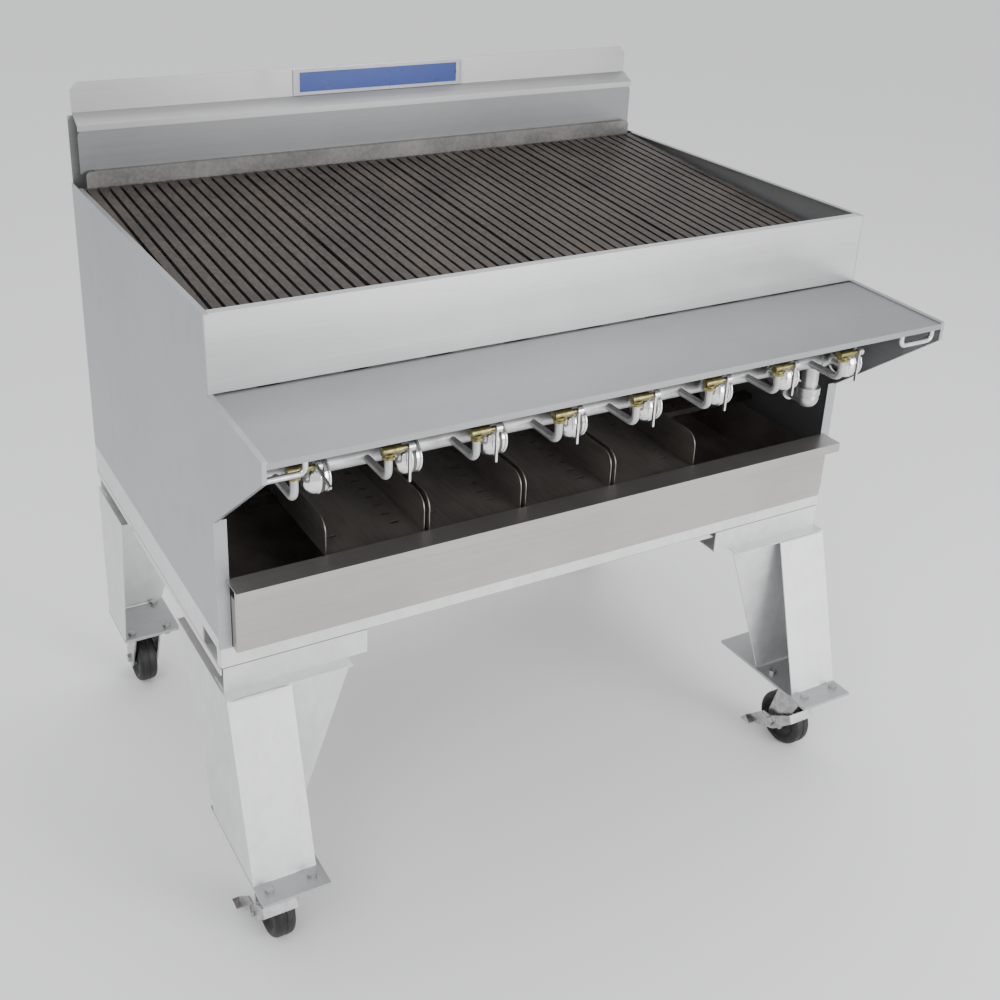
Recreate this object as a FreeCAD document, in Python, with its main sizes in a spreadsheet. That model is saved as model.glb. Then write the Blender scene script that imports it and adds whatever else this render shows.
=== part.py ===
import FreeCAD, Part
import math
import os
import re
import Sketcher

# Floor-standing gas charbroiler on four casters.  Millimetres, +Z up, +X to the cook's right,
# the cook stands at -Y.  The origin is on the floor under the middle of the overall box.

SIZES = [
    # overall
    ("wide", 1118), ("deep", 680), ("rim", 1000), ("shelf_reach", 197), ("sheet", 2), ("gap", 0.3),
    # side panels, apron and shelf
    ("apron_high", 111), ("apron_lip", 14), ("shelf_fall", 6), ("shelf_hem", 9), ("tip_high", 29.5),
    ("knee_drop", 300), ("panel_high", 488), ("return_wide", 19), ("edge_wide", 8), ("fold_wide", 6),
    # stepped back
    ("ledge_set", 42), ("ledge_rise", 25.5), ("ledge_inset", 16), ("ledge_foot", 60),
    ("flue_set", 30), ("flue_rise", 92), ("flue_low", 20), ("flue_inset", 10),
    ("splash_rise", 165), ("splash_step", 116), ("splash_lip", 101), ("splash_clip", 12), ("splash_over", 1),
    ("badge_wide", 339), ("badge_high", 44), ("badge_shift", 8.5), ("badge_thick", 1), ("rivet", 3),
    ("badge_rim", 4),
    # base frame
    ("base_drop", 505), ("rail_high", 32), ("rail_deep", 62), ("rear_rail_deep", 48),
    ("side_rail_high", 61), ("side_rail_flange", 12), ("slot_front", 12), ("slot_long", 62),
    ("notch_at", 442), ("notch_long", 18), ("notch_high", 7),
    ("channel_high", 40), ("channel_deep", 40), ("channel_long", 225), ("channel_inset", 4),
    # legs and feet
    ("leg_set", 22), ("leg_lean", 82), ("leg_top_deep", 229), ("leg_foot_deep", 175),
    ("leg_plate_wide", 98), ("web_set", 12), ("web_top", 196), ("web_foot", 101), ("leg_plate", 2),
    ("rear_leg_top", 160), ("rear_leg_foot", 110), ("rear_leg_over", 5),
    ("foot_thick", 5), ("foot_wide", 105), ("foot_front", 145), ("foot_deep", 230),
    ("rear_foot_deep", 116), ("rear_foot_over", 10),
    # casters
    ("mount_room", 45), ("caster_inset", 51), ("front_swivel", -78.5), ("rear_swivel_in", 48),
    ("plate_side", 100), ("plate_thick", 4), ("bolt_x", 66), ("bolt_y", 85), ("bolt_round", 4),
    ("hole_slack", 0.2), ("head_round", 7.5), ("head_high", 5.5),
    ("trail", 28), ("wheel_round", 50), ("wheel_wide", 36), ("race_round", 29), ("crown_high", 6),
    ("race_high", 13), ("king_round", 6), ("king_head", 11), ("fork_gap", 4), ("fork_thick", 3),
    ("axle_round", 6), ("run_fit", 0.05), ("axle_head", 9), ("axle_head_high", 5),
    ("fork_front", 27), ("fork_rear", 17), ("fork_foot", 13), ("hub_round", 17), ("web_round", 35),
    ("hub_dish", 6), ("tread_round", 7),
    ("pedal_off", 8), ("pedal_thick", 2.5), ("pedal_wide", 20), ("shoe_gap", 7.6), ("shoe_angle", 38.66),
    ("pedal_tail", 64), ("pedal_fall", 30), ("tab_long", 22), ("tab_out", 14), ("shoe_long", 14),
    # drip tray and deflector pans
    ("tray_drop", 392), ("tray_set", 17), ("tray_gap", 1), ("tray_wall", 86), ("tray_short", 40),
    ("lip_reach", 42), ("lip_hem", 16), ("lip_over", 6), ("lip_back", 0.5), ("tray_sheet", 1.5),
    ("pan_wide", 160), ("pan_pitch", 167.3), ("pan_shift", -61), ("tray_clear", 7.2), ("pan_wall", 60),
    ("pan_front", 10), ("pan_short", 70), ("pan_sheet", 1.5), ("slot_side", 52), ("slot_pitch", 28.7),
    ("slot_wide", 16), ("slot_thick", 5), ("slot_start", 44), ("slot_end", 30), ("pan_round", 24),
    ("pan_rail_high", 10), ("pan_rail_deep", 20), ("pan_rail_front", 200), ("pan_rail_short", 140),
    # grates and what carries them
    ("grate_drop", 49), ("grate_front", 17), ("grate_slope", 4.3), ("grate_high", 14), ("grate_gap", 2),
    ("grate_end", 5), ("bar_gap", 5.5), ("bar_count", 14), ("tie_deep", 12), ("tie_high", 6),
    ("rest_deep", 22), ("rest_thick", 3), ("rest_drop", 24),
    # burners, valves and gas line
    ("stations", 8), ("pitch", 133.35), ("burner_round", 14), ("burner_drop", 150), ("burner_short", 70),
    ("burner_shift", 22), ("burner_bend", 50), ("burner_knee", 40), ("drum_round", 25),
    ("drum_wide", 32), ("drum_dome", 17), ("drum_at", -70), ("drum_drop", 219),
    ("bar_high", 10), ("bar_deep", 8), ("bar_front", 110), ("bar_short", 110),
    ("radiant_half", 42), ("radiant_high", 26), ("radiant_thick", 3), ("radiant_drop", 104),
    ("radiant_front", 40), ("radiant_short", 60),
    ("pipe_round", 13.35), ("pipe_bore", 10.5), ("pipe_at", -28), ("pipe_under", 50.65), ("pipe_end", 84),
    ("riser_round", 5.7), ("riser_shift", -17), ("riser_at", -107), ("riser_bend", 14),
    ("riser_top", 197), ("valve_round", 8), ("valve_drop", 186), ("cock_round", 6.5), ("cock_long", 19),
    ("stem_round", 3.5), ("stem_long", 39), ("lever_at", 11), ("lever_wide", 9), ("lever_hub", 7),
    ("lever_front", 6), ("lever_long", 50), ("lever_thick", 4), ("strip_wide", 3), ("lever_swing", 76),
    ("elbow_at", 93), ("elbow_drop", 295), ("elbow_round", 18), ("collar_round", 19), ("nipple_end", 15),
    ("bead_round", 20), ("bead_wide", 6), ("collar_high", 13), ("bore_long", 30), ("gas_hole", 20),
    ("hook_round", 4), ("hook_right", 21), ("hook_wide", 50), ("hook_right_wide", 63),
    ("hook_drop", 20), ("hook_bend", 9), ("neck_back", 12), ("neck_rise", 10),
]

# Lengths and places worked out from the sizes above.
WORKED_OUT = {
    "half": "wide / 2",
    "inner": "half - sheet",
    "rear_reach": "rear_swivel + trail + wheel_round",
    "front": "(shelf_reach - rear_reach) / 2",
    "shelf_back": "rim - apron_high",
    "shelf_tip": "shelf_back - shelf_fall",
    "base_top": "rim - base_drop",
    "channel_top": "base_top - rail_high",
    "leg_top": "channel_top - channel_high",
    "foot_top": "mount_high + foot_thick",
    "swivel_x": "half - caster_inset",
    "grate_wide": "(wide - 2 * edge_wide - 5 * grate_gap) / 4",
    "bar_pitch": "grate_wide / bar_count",
    "pan_floor": "tray_floor + tray_wall + tray_clear + pan_rail_high + pan_sheet",
    "tray_half": "half - return_wide - tray_gap",
    "tray_floor": "base_top + gap",
    "pipe_z": "rim - burner_drop - burner_round - pipe_round - pipe_under",
    "first_station": "-pitch * (stations - 1) / 2",
    "elbow_z": "rim - elbow_drop",
    "axle_left": "wheel_wide / 2 + fork_gap + fork_thick",
    "pedal_in": "axle_left + pedal_off",
    "fork_top": "mount_high - plate_thick - race_high - gap",
    "splash_front": "deep - sheet",
    "slope_sheet": "sheet / cos(atan((knee_drop - apron_high - shelf_fall - tip_high) / shelf_reach))",
    "ledge_front": "deep - ledge_set",
    "flue_front": "deep - flue_set",
    "tray_rear": "deep - tray_short",
    "pan_deep": "deep - pan_front - pan_short",
    "pan_rail_rear": "deep - pan_rail_short",
    "slot_count": "floor((pan_deep - slot_start - slot_end) / slot_pitch)",
    "burner_end": "deep - burner_short",
    "bar_rear": "deep - bar_short",
    "radiant_long": "deep - radiant_front - radiant_short",
    "grate_long": "(ledge_front - grate_front - grate_end) / cos(grate_slope)",
    "rear_swivel": "deep - rear_swivel_in",
    "mount_high": "2 * wheel_round + mount_room",
    "pedal_nose": "(wheel_round + shoe_gap) * cos(shoe_angle)",
    "pedal_rise": "(wheel_round + shoe_gap) * sin(shoe_angle)",
}

NAMES = [name for name, value in SIZES]
doc = FreeCAD.newDocument("charbroiler")
sheet = doc.addObject("Spreadsheet::Sheet", "Sizes")
for row, (name, value) in enumerate(SIZES, 1):
    sheet.set("A%d" % row, name)
    sheet.set("B%d" % row, str(value))
    sheet.setAlias("B%d" % row, name)
doc.recompute()
finished = []


def spelled(text):
    """An expression in which each size is read from the sheet."""
    def word(match):
        name = match.group(0)
        if name in WORKED_OUT:
            return "(" + spelled(WORKED_OUT[name]) + ")"
        return "Sizes." + name if name in NAMES else name
    return re.sub(r"[a-z_]+", word, str(text))


def bind(thing, prop, text):
    thing.setExpression(prop, spelled(text))


def place(thing, x="0", y="0", z="0"):
    for axis, text in zip("xyz", (x, y, z)):
        bind(thing, "Placement.Base." + axis, text)
    return thing


def finish(thing, node):
    """Names one finished sub-part; its label is also its file's name."""
    thing.Label = node
    finished.append(thing)
    return thing


def body(name):
    return doc.addObject("PartDesign::Body", name + "_body")


def sketch_on(owner, plane, start):
    """A sketch on XY, XZ or YZ, moved along +Z, +Y or +X by start."""
    sketch = owner.newObject("Sketcher::SketchObject", "sketch")
    for feature in owner.Origin.OriginFeatures:
        if feature.Role == plane + "_Plane":
            sketch.AttachmentSupport = [(feature, "")]
    sketch.MapMode = "FlatFace"
    sign = "-" if plane == "XZ" else ""
    bind(sketch, "AttachmentOffset.Base.z", sign + "(" + start + ")")
    return sketch


def outline(owner, plane, points, start="0"):
    """A closed outline of straight sides through the points."""
    sketch = sketch_on(owner, plane, start)
    count = len(points)
    for i in range(count):
        tail = FreeCAD.Vector(10 * i, i * i, 0)
        head = FreeCAD.Vector(10 * i + 10, (i + 1) * (i + 1), 0)
        sketch.addGeometry(Part.LineSegment(tail, head))
    for i in range(count):
        sketch.addConstraint(Sketcher.Constraint("Coincident", i, 2, (i + 1) % count, 1))
    for i, point in enumerate(points):
        for kind, text in zip(("DistanceX", "DistanceY"), point):
            index = sketch.addConstraint(Sketcher.Constraint(kind, -1, 1, i, 1, 1.0))
            bind(sketch, "Constraints[%d]" % index, text)
    return sketch


def circle(owner, plane, across, up, radius, start="0"):
    sketch = sketch_on(owner, plane, start)
    sketch.addGeometry(Part.Circle(FreeCAD.Vector(9, 9, 0), FreeCAD.Vector(0, 0, 1), 5))
    for kind, text in (("DistanceX", across), ("DistanceY", up)):
        index = sketch.addConstraint(Sketcher.Constraint(kind, -1, 1, 0, 3, 1.0))
        bind(sketch, "Constraints[%d]" % index, text)
    index = sketch.addConstraint(Sketcher.Constraint("Radius", 0, 5))
    bind(sketch, "Constraints[%d]" % index, radius)
    return sketch


def rectangle(left, right, low, high):
    return [(left, low), (right, low), (right, high), (left, high)]


def pad(owner, sketch, length):
    """A pad towards +X, +Y or +Z."""
    feature = owner.newObject("PartDesign::Pad", "pad")
    feature.Profile = sketch
    bind(feature, "Length", length)
    feature.Reversed = "XZ" in sketch.AttachmentSupport[0][0].Role
    return feature


def pocket(owner, sketch, length):
    """A pocket towards +X, +Y or +Z."""
    feature = owner.newObject("PartDesign::Pocket", "pocket")
    feature.Profile = sketch
    bind(feature, "Length", length)
    feature.Reversed = "XZ" not in sketch.AttachmentSupport[0][0].Role
    return feature


def slab(owner, plane, points, start, length):
    return pad(owner, outline(owner, plane, points, start), length)


def cut_out(owner, plane, points, start, length):
    return pocket(owner, outline(owner, plane, points, start), length)


def rounded(owner, base, radius, chosen, kind="PartDesign::Fillet"):
    """Rounds or chamfers the edges of the base whose middle point passes the test."""
    doc.recompute()
    names = []
    for number, edge in enumerate(base.Shape.Edges, 1):
        if chosen(edge.BoundBox):
            names.append("Edge%d" % number)
    feature = owner.newObject(kind, "rounded")
    feature.Base = (base, names)
    bind(feature, "Radius" if kind.endswith("Fillet") else "Size", radius)
    return feature


def rows(owner, base, axis, step, count):
    """A row of a feature along an axis of the body, with a fixed step."""
    pattern = owner.newObject("PartDesign::LinearPattern", "row")
    pattern.Originals = [base]
    for feature in owner.Origin.OriginFeatures:
        if feature.Role == axis + "_Axis":
            pattern.Direction = (feature, [""])
    bind(pattern, "Length", "(" + step + ") * (" + count + " - 1)")
    bind(pattern, "Occurrences", count)
    owner.Tip = pattern
    return pattern


def block(x, y, z):
    """A box between the two texts of each pair."""
    box = doc.addObject("Part::Box", "block")
    for prop, pair in zip(("Length", "Width", "Height"), (x, y, z)):
        bind(box, prop, "(" + pair[1] + ") - (" + pair[0] + ")")
    return place(box, x[0], y[0], z[0])


def rod(radius, length, x, y, z, axis="Z", kind="Part::Cylinder"):
    """A round or six-sided rod that starts at a point and runs along +X, +Y or +Z."""
    thing = doc.addObject(kind, "rod")
    bind(thing, "Radius" if kind.endswith("Cylinder") else "Circumradius", radius)
    bind(thing, "Height", length)
    turn = {"X": ((0, 1, 0), 90), "Y": ((1, 0, 0), -90), "Z": ((0, 0, 1), 0)}[axis]
    thing.Placement = FreeCAD.Placement(FreeCAD.Vector(), FreeCAD.Rotation(FreeCAD.Vector(*turn[0]), turn[1]))
    return place(thing, x, y, z)


def hex_rod(radius, length, x, y, z, axis="Z"):
    return rod(radius, length, x, y, z, axis, "Part::Prism")


def fused(things):
    joined = doc.addObject("Part::MultiFuse", "joined")
    joined.Shapes = things
    return joined


def drilled(thing, tools):
    result = doc.addObject("Part::Cut", "drilled")
    result.Base = thing
    result.Tool = tools[0] if len(tools) == 1 else fused(tools)
    return result


def together(things):
    group = doc.addObject("Part::Compound", "group")
    group.Links = things
    return group


def mirrored(thing):
    image = doc.addObject("Part::Mirroring", "image")
    image.Source = thing
    image.Normal = (1, 0, 0)
    return image


def copies(thing, spots):
    """One group: the thing itself at each (x, y, z) spot."""
    links = []
    for spot in spots:
        link = doc.addObject("App::Link", "copy")
        link.LinkedObject = thing
        links.append(place(link, *spot))
    return together(links)


def station_x(i):
    return "first_station + %d * pitch" % i


def value(text):
    """The present value of an expression."""
    return float(sheet.evalExpression(spelled(text)))


def y_at(text):
    """A place measured back from the front plane of the box."""
    return "front + (" + text + ")"


def z_at(text):
    """A place measured down from the rim."""
    return "rim - (" + text + ")"


# ---------------------------------------------------------------- cabinet sheets

def side_panel():
    part = body("side_panel")
    profile = [(y_at("0"), "rim"), (y_at("0"), "shelf_back"), (y_at("-shelf_reach"), "shelf_tip"),
               (y_at("-shelf_reach"), "shelf_tip - tip_high"), (y_at("0"), z_at("knee_drop")),
               (y_at("0"), z_at("panel_high")), (y_at("deep"), z_at("panel_high")),
               (y_at("deep"), "rim")]
    slab(part, "YZ", profile, "-half", "sheet")
    top = rectangle(y_at("0"), y_at("ledge_front"), "rim - sheet", "rim")
    slab(part, "YZ", top, "-half", "edge_wide")
    shelf_edge = [(y_at("0"), "shelf_back"), (y_at("-shelf_reach"), "shelf_tip"),
                  (y_at("-shelf_reach"), "shelf_tip - sheet"), (y_at("0"), "shelf_back - sheet")]
    slab(part, "YZ", shelf_edge, "-half", "edge_wide")
    tip = rectangle(y_at("-shelf_reach"), y_at("sheet - shelf_reach"), "shelf_tip - tip_high", "shelf_tip")
    slab(part, "YZ", tip, "-half", "fold_wide")
    slope = [(y_at("-shelf_reach"), "shelf_tip - tip_high"), (y_at("0"), z_at("knee_drop")),
             (y_at("0"), z_at("knee_drop - slope_sheet")),
             (y_at("-shelf_reach"), "shelf_tip - tip_high + slope_sheet")]
    slab(part, "YZ", slope, "-half", "fold_wide")
    fold = rectangle(y_at("0"), y_at("sheet"), "base_top", z_at("knee_drop - slope_sheet"))
    slab(part, "YZ", fold, "-half", "return_wide")
    finish(part, "left_side_panel")
    finish(mirrored(part), "right_side_panel")


def front_apron():
    part = body("apron")
    face = rectangle("-inner", "inner", "shelf_back", "rim - sheet")
    slab(part, "XZ", face, y_at("0"), "sheet")
    lip = rectangle("edge_wide - half", "half - edge_wide", y_at("0"), y_at("apron_lip"))
    slab(part, "XY", lip, "rim - sheet", "sheet")
    finish(part, "front_apron")


def front_shelf():
    part = body("shelf")
    deck = [(y_at("0"), "shelf_back - sheet"), (y_at("sheet - shelf_reach"), "shelf_tip - sheet"),
            (y_at("sheet - shelf_reach"), "shelf_tip - 2 * sheet"), (y_at("0"), "shelf_back - 2 * sheet")]
    slab(part, "YZ", deck, "-inner", "2 * inner")
    hem = rectangle("fold_wide - half", "half - fold_wide", "shelf_tip - sheet - shelf_hem",
                    "shelf_tip - sheet")
    slab(part, "XZ", hem, y_at("-shelf_reach"), "sheet")
    finish(part, "front_shelf")


def rear_panel():
    part = body("rear")
    sheet_face = rectangle("-inner", "inner", "base_top", "rim + splash_step - 2 * sheet")
    slab(part, "XZ", sheet_face, y_at("deep - sheet"), "sheet")
    pocket(part, circle(part, "XZ", "half - elbow_at", "elbow_z", "gas_hole", y_at("deep - sheet")), "sheet")
    finish(part, "rear_panel")


def rear_ledge():
    part = body("ledge")
    low = rectangle("-inner", "inner", z_at("ledge_foot"), z_at("sheet"))
    slab(part, "XZ", low, y_at("ledge_front"), "sheet")
    high = rectangle("ledge_inset - half", "half - ledge_inset", z_at("sheet"), "rim + ledge_rise")
    raised = slab(part, "XZ", high, y_at("ledge_front"), "sheet")
    ends = rounded(part, raised, "ledge_inset / 2", lambda box: box.XLength < 0.1
                   and box.YLength > 1 and box.ZMax > value("rim + ledge_rise") - 0.1)
    part.Tip = ends
    flange = rectangle("-half + 2 * ledge_inset", "half - 2 * ledge_inset", y_at("ledge_front"),
                       y_at("flue_front"))
    slab(part, "XY", flange, "rim + ledge_rise - sheet", "sheet")
    finish(part, "rear_ledge")


def flue_panel():
    part = body("flue")
    face = rectangle("flue_inset - half", "half - flue_inset", "rim + flue_low", "rim + flue_rise")
    plate = slab(part, "XZ", face, y_at("flue_front"), "sheet")
    rounded(part, plate, "flue_inset", lambda box: box.XLength < 0.1 and box.YLength > 1
            and box.ZMax > value("rim + flue_rise") - 0.1)
    finish(part, "flue_panel")


def backsplash():
    part = body("splash")
    lip = y_at("flue_front - sheet")
    bend = [(lip, "rim + flue_rise - splash_over"), (lip, "rim + splash_lip"),
            (y_at("splash_front"), "rim + splash_step"),
            (y_at("splash_front"), "rim + splash_rise"), (y_at("deep"), "rim + splash_rise"),
            (y_at("deep"), "rim + splash_step - sheet"), (y_at("flue_front"), "rim + splash_lip - sheet"),
            (y_at("flue_front"), "rim + flue_rise - splash_over")]
    board = slab(part, "YZ", bend, "flue_inset - half", "wide - 2 * flue_inset")
    rounded(part, board, "splash_clip", lambda box: box.XLength < 0.1 and box.YLength > 1
            and box.ZMin > value("rim + splash_rise") - 0.1, "PartDesign::Chamfer")
    finish(part, "backsplash")


def nameplate():
    part = body("badge")
    left = "badge_shift - badge_wide / 2"
    right = "badge_shift + badge_wide / 2"
    low = "rim + splash_step + badge_thick"
    high = low + " + badge_high"
    face = y_at("splash_front - badge_thick")
    slab(part, "XZ", rectangle(left, right, low, high), face, "badge_thick")
    border = y_at("splash_front - 2 * badge_thick")
    for across in ((left, left + " + badge_rim"), (right + " - badge_rim", right)):
        slab(part, "XZ", rectangle(*across, low, high), border, "badge_thick")
    for up in ((low, low + " + badge_rim"), (high + " - badge_rim", high)):
        slab(part, "XZ", rectangle(left, right, *up), border, "badge_thick")
    for centre in (left + " + 3 * badge_rim", right + " - 3 * badge_rim"):
        pad(part, circle(part, "XZ", centre, low + " + badge_high / 2", "rivet", border), "badge_thick")
    finish(part, "nameplate")


# ---------------------------------------------------------------- base frame and legs

def channel_outline(front_face, depth, top, high):
    """A C section whose web is at front_face; a negative depth opens it forward."""
    wall = "sheet" if not depth.startswith("-") else "-sheet"
    return [(front_face, top), (front_face + " + " + depth, top),
            (front_face + " + " + depth, top + " - sheet"), (front_face + " + " + wall, top + " - sheet"),
            (front_face + " + " + wall, top + " - " + high + " + sheet"),
            (front_face + " + " + depth, top + " - " + high + " + sheet"),
            (front_face + " + " + depth, top + " - " + high), (front_face, top + " - " + high)]


def base_rails():
    front = body("front_rail")
    slab(front, "YZ", channel_outline(y_at("0"), "rail_deep", "base_top", "rail_high"), "-inner", "2 * inner")
    finish(front, "front_rail")
    rear = body("rear_rail")
    slab(rear, "YZ", channel_outline(y_at("deep"), "-rear_rail_deep", "base_top", "rail_high"),
         "-inner", "2 * inner")
    finish(rear, "rear_rail")
    side = body("side_rail")
    top = z_at("panel_high")
    low = top + " - side_rail_high"
    face = rectangle(y_at("sheet"), y_at("deep"), low, top)
    slab(side, "YZ", face, "-half", "sheet")
    flange = rectangle(y_at("sheet"), y_at("deep - sheet"), top + " - sheet", top)
    slab(side, "YZ", flange, "-half", "side_rail_flange")
    slot = rectangle(y_at("slot_front"), y_at("slot_front + slot_long"), "channel_top + sheet",
                     "base_top - sheet")
    cut_out(side, "YZ", slot, "-half", "sheet")
    notch = rectangle(y_at("notch_at"), y_at("notch_at + notch_long"), low, low + " + notch_high")
    cut_out(side, "YZ", notch, "-half", "sheet")
    finish(together([side, mirrored(side)]), "side_rails")


def leg_channels():
    sections = []
    for front_face, depth in ((y_at("0"), "channel_deep"), (y_at("deep"), "-channel_deep")):
        part = body("channel")
        profile = channel_outline(front_face, depth, "channel_top", "channel_high")
        slab(part, "YZ", profile, "channel_inset - half", "channel_long")
        sections += [part, mirrored(part)]
    finish(together(sections), "leg_channels")


def front_leg():
    part = body("front_leg")
    cap = rectangle("-half", "web_top - half", y_at("-leg_set"), y_at("leg_top_deep - leg_set"))
    slab(part, "XY", cap, "leg_top - sheet", "sheet")
    cheek = [(y_at("-leg_set"), "leg_top - sheet"), (y_at("-leg_set - leg_lean"), "foot_top"),
             (y_at("leg_foot_deep - leg_set - leg_lean"), "foot_top"),
             (y_at("leg_top_deep - leg_set"), "leg_top - sheet")]
    slab(part, "YZ", cheek, "-half", "leg_plate")
    shin = [(y_at("-leg_set"), "leg_top - sheet"), (y_at("-leg_set - leg_lean"), "foot_top"),
            (y_at("leg_plate - leg_set - leg_lean"), "foot_top"),
            (y_at("leg_plate - leg_set"), "leg_top - sheet")]
    slab(part, "YZ", shin, "-half", "leg_plate_wide")
    web = [("-half", "leg_top - sheet"), ("web_top - half", "leg_top - sheet"),
           ("web_foot - half", "foot_top"), ("-half", "foot_top")]
    slab(part, "XZ", web, y_at("-web_set"), "leg_plate")
    finish(part, "leg_front_left")
    finish(mirrored(part), "leg_front_right")


def rear_leg():
    part = body("rear_leg")
    back = y_at("deep + rear_leg_over")
    cap = rectangle("-half", "web_top - half", back + " - rear_leg_top", back)
    slab(part, "XY", cap, "leg_top - sheet", "sheet")
    cheek = [(back + " - rear_leg_top", "leg_top - sheet"), (back + " - rear_leg_foot", "foot_top"),
             (back, "foot_top"), (back, "leg_top - sheet")]
    slab(part, "YZ", cheek, "-half", "leg_plate")
    web = [("-half", "leg_top - sheet"), ("web_top - half", "leg_top - sheet"),
           ("web_foot - half", "foot_top"), ("-half", "foot_top")]
    slab(part, "XZ", web, back + " - leg_plate", "leg_plate")
    finish(part, "leg_rear_left")
    finish(mirrored(part), "leg_rear_right")


def swivel_spots():
    return [(side + "swivel_x", y_at(place_y), "mount_high")
            for side in ("-", "") for place_y in ("front_swivel", "rear_swivel")]


def bolt_spots():
    spots = []
    for x, y, z in swivel_spots():
        for across in (" - bolt_x / 2", " + bolt_x / 2"):
            for along in (" - bolt_y / 2", " + bolt_y / 2"):
                spots.append((x + across, y + along, z))
    return spots


def foot_plates():
    plates = []
    rear_end = y_at("deep + rear_foot_over")
    for near, far in ((y_at("-foot_front"), y_at("foot_deep - foot_front")),
                      (rear_end + " - rear_foot_deep", rear_end)):
        for left, right in (("-half", "foot_wide - half"), ("half - foot_wide", "half")):
            plates.append(block((left, right), (near, far), ("mount_high", "foot_top")))
    holes = [rod("bolt_round + hole_slack", "foot_thick", *spot) for spot in bolt_spots()]
    finish(drilled(together(plates), holes), "foot_plates")


# ---------------------------------------------------------------- casters

def caster_plates():
    """Each top plate carries its ball race and the king pin that the fork turns on."""
    side = "plate_side / 2"
    flat = block(("-" + side, side), ("-" + side, side), ("-plate_thick", "0"))
    race = rod("race_round", "race_high", "0", "0", "-plate_thick - race_high")
    reach = "race_high + gap + crown_high + gap + sheet"
    pin = rod("king_round", reach, "0", "0", "-plate_thick - (" + reach + ")")
    button = rod("king_head", "sheet", "0", "0", "-plate_thick - (" + reach + ")")
    holes = []
    for x in ("-bolt_x / 2", "bolt_x / 2"):
        for y in ("-bolt_y / 2", "bolt_y / 2"):
            holes.append(rod("bolt_round + hole_slack", "plate_thick", x, y, "-plate_thick"))
    plate = drilled(fused([flat, race, pin, button]), holes)
    finish(copies(plate, swivel_spots()), "caster_plates")


def caster_bolts():
    shank = rod("bolt_round", "foot_thick + plate_thick", "0", "0", "-plate_thick")
    head = hex_rod("head_round", "head_high", "0", "0", "foot_thick")
    nut = hex_rod("head_round", "head_high", "0", "0", "-plate_thick - head_high")
    bolt = fused([shank, head, nut])
    finish(copies(bolt, bolt_spots()), "caster_bolts")


def caster_fork(node, spot):
    """Local origin: the swivel axis at the mounting height."""
    part = body("fork")
    top = "fork_top - mount_high"
    axle_z = "wheel_round - mount_high"
    outer = "axle_left"
    crown = rectangle("-" + outer, outer, "-fork_front", "fork_front")
    slab(part, "XY", crown, top + " - crown_high", "crown_high")
    leg = [("-fork_front", top), ("fork_front", top), ("trail + fork_rear", axle_z + " + fork_foot"),
           ("trail + fork_rear", axle_z + " - fork_foot"), ("trail - fork_rear", axle_z + " - fork_foot")]
    for start in ("-" + outer, outer + " - fork_thick"):
        slab(part, "YZ", leg, start, "fork_thick")
    pocket(part, circle(part, "XY", "0", "0", "king_round + run_fit", top + " - crown_high"), "crown_high")
    pocket(part, circle(part, "YZ", "trail", axle_z, "axle_round + run_fit", "-" + outer), "2 * " + outer)
    doc.recompute()
    rounded(part, part.Tip, "fork_foot - 1", lambda box: box.XLength > value("fork_thick") - 0.1
            and box.YLength < 0.1 and box.ZMax < value(axle_z))
    finish(place(part, *spot), node)


def caster_wheel(node, spot):
    """Tyre, web and hub about the X axis; the hub's bore runs on the axle."""
    part = body("wheel")
    edge = "wheel_wide / 2"
    inner_edge = edge + " - hub_dish"
    profile = [("-" + edge, "axle_round + run_fit"), ("-" + edge, "hub_round"),
               ("-(" + inner_edge + ")", "hub_round + sheet"), ("-(" + inner_edge + ")", "web_round"),
               ("-" + edge + " + sheet", "web_round + sheet"),
               ("-" + edge + " + sheet", "wheel_round - tread_round"),
               ("tread_round - " + edge, "wheel_round"), (edge + " - tread_round", "wheel_round"),
               (edge + " - sheet", "wheel_round - tread_round"), (edge + " - sheet", "web_round + sheet"),
               (inner_edge, "web_round"), (inner_edge, "hub_round + sheet"), (edge, "hub_round"),
               (edge, "axle_round + run_fit")]
    half_section = outline(part, "XZ", profile)
    turned = part.newObject("PartDesign::Revolution", "turned")
    turned.Profile = half_section
    turned.ReferenceAxis = (half_section, ["H_Axis"])
    finish(place(part, *spot), node)


def caster_axle(node, spot, left):
    """Left is how far the shank reaches past the swivel line on the -X side."""
    right = "axle_left"
    pieces = [rod("axle_round", left + " + " + right, "-(" + left + ")", "0", "0", "X"),
              hex_rod("axle_head", "axle_head_high", "-(" + left + ") - axle_head_high", "0", "0", "X"),
              hex_rod("axle_head", "axle_head_high", right, "0", "0", "X")]
    if left != right:
        pieces.append(rod("axle_head", "pedal_off - gap", "gap - pedal_in", "0", "0", "X"))
    finish(place(fused(pieces), *spot), node)


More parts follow.
